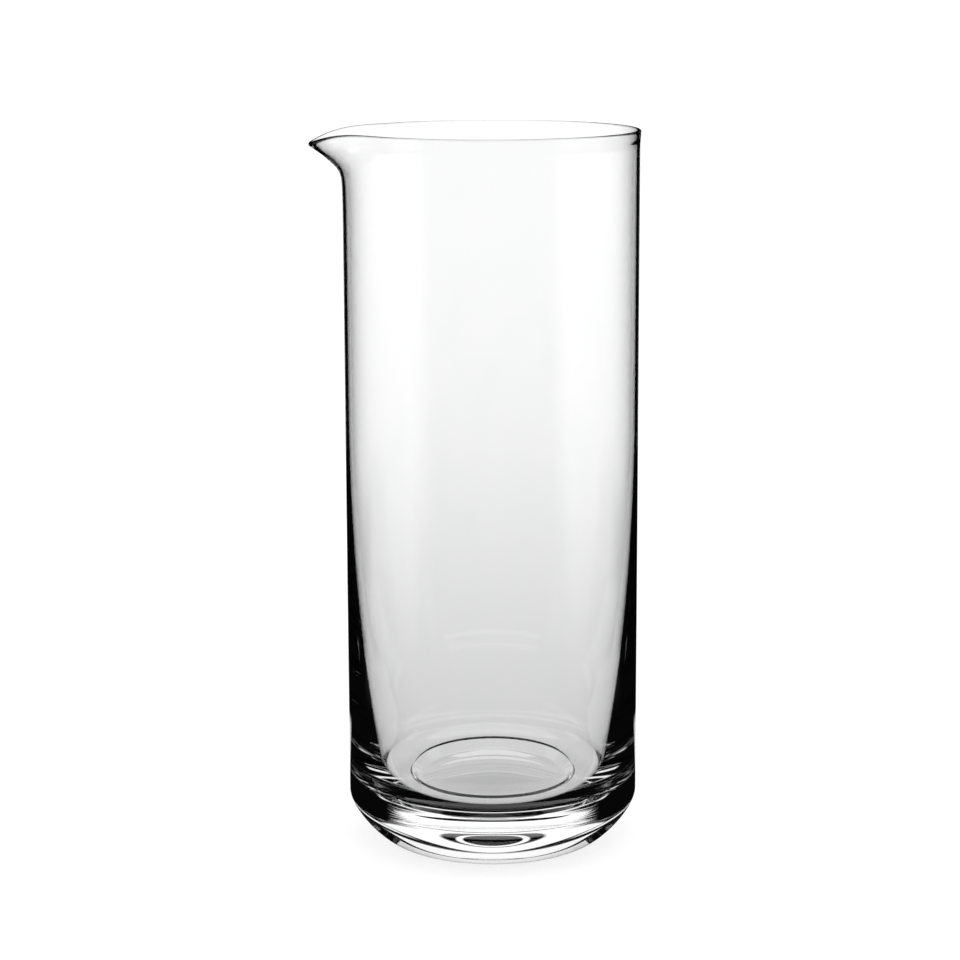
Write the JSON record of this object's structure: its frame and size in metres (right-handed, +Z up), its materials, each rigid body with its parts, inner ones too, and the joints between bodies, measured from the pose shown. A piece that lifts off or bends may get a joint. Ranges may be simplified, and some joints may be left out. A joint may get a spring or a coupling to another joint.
{
  "type": "cocktail mixing glass",
  "caption": "Tall straight-sided clear mixing glass with a heavy base, a soft slanting corner round its foot, a ridged cavity floor, a fire-polished rim and a pouring lip on one side.",
  "frame": {"origin": "centre of the flat foot, on the table plane", "axes": "+Z up along the glass's axis, -X towards the pouring lip, the picture looks along +Y"},
  "size_m": [0.0843, 0.076, 0.1859],
  "materials": {
    "clear_glass": "clear polished glass, fire-polished rim"
  },
  "bodies": {
    "root": {"glass_body": "clear_glass"}
  },
  "joints": []
}
